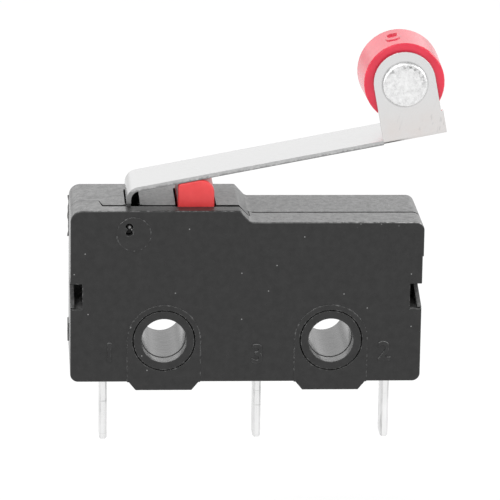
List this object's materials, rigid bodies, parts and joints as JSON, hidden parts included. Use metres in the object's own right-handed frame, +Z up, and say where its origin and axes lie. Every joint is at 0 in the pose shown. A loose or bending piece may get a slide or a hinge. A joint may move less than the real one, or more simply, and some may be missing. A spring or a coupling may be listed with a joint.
{
  "type": "roller lever micro switch",
  "caption": "Miniature snap-action switch: flat two-part housing with a bent roller lever over a push button, two mounting holes and straight circuit-board pins below.",
  "frame": {"origin": "midway between the axes of the two mounting holes, in the middle of the body's thickness", "axes": "+X along the body from the lever's hinge towards its roller, +Y from the front cover to the back of the case, +Z up from the mounting holes to the lever"},
  "size_m": [0.0214, 0.0064, 0.0237],
  "materials": {
    "housing_plastic": "fine matt moulded black",
    "button_plastic": "satin moulded red",
    "roller_plastic": "satin moulded crimson",
    "lever_steel": "bright rolled sheet",
    "rivet_steel": "staked, slightly mottled",
    "tinned_brass": "bright tin plate",
    "contact_silver": "satin silver",
    "spring_copper": "rolled spring strip"
  },
  "bodies": {
    "housing": {"case": "housing_plastic", "cover": "housing_plastic", "common_terminal": "tinned_brass", "normally_open_terminal": "tinned_brass", "normally_closed_terminal": "tinned_brass", "normally_open_contact": "contact_silver", "normally_closed_contact": "contact_silver"},
    "lever": {"lever": "lever_steel", "roller_rivet": "rivet_steel"},
    "roller": {"roller": "roller_plastic"},
    "plunger": {"plunger": "button_plastic"},
    "contact_arm": {"moving_blade": "spring_copper", "snap_spring": "spring_copper", "moving_contact": "contact_silver"}
  },
  "joints": [
    {"name": "lever_hinge", "type": "hinge", "parent": "housing", "child": "lever", "pos_m": [-0.00675, 0, 0.0065], "axis": [0, 1, 0], "range_deg": [0, 13], "stiffness_Nm_per_rad": 0.02, "springref_deg": -8.59},
    {"name": "roller_spin", "type": "hinge", "parent": "lever", "child": "roller", "pos_m": [0.00873, 0, 0.01466], "axis": [0, 1, 0], "continuous": true},
    {"name": "plunger_slide", "type": "slide", "parent": "housing", "child": "plunger", "axis": [0, 0, -1], "range_m": [0, 0.00099]},
    {"name": "contact_swing", "type": "hinge", "parent": "housing", "child": "contact_arm", "pos_m": [-0.00791, 0, 0.00434], "axis": [0, 1, 0], "range_deg": [0, 1.9], "deforming": ["moving_blade", "snap_spring"]}
  ],
  "couplings": [
    {"joint": "plunger_slide", "follows": "lever_hinge", "m_per_rad": 0.00432},
    {"joint": "contact_swing", "follows": "lever_hinge", "ratio": 0.145}
  ]
}
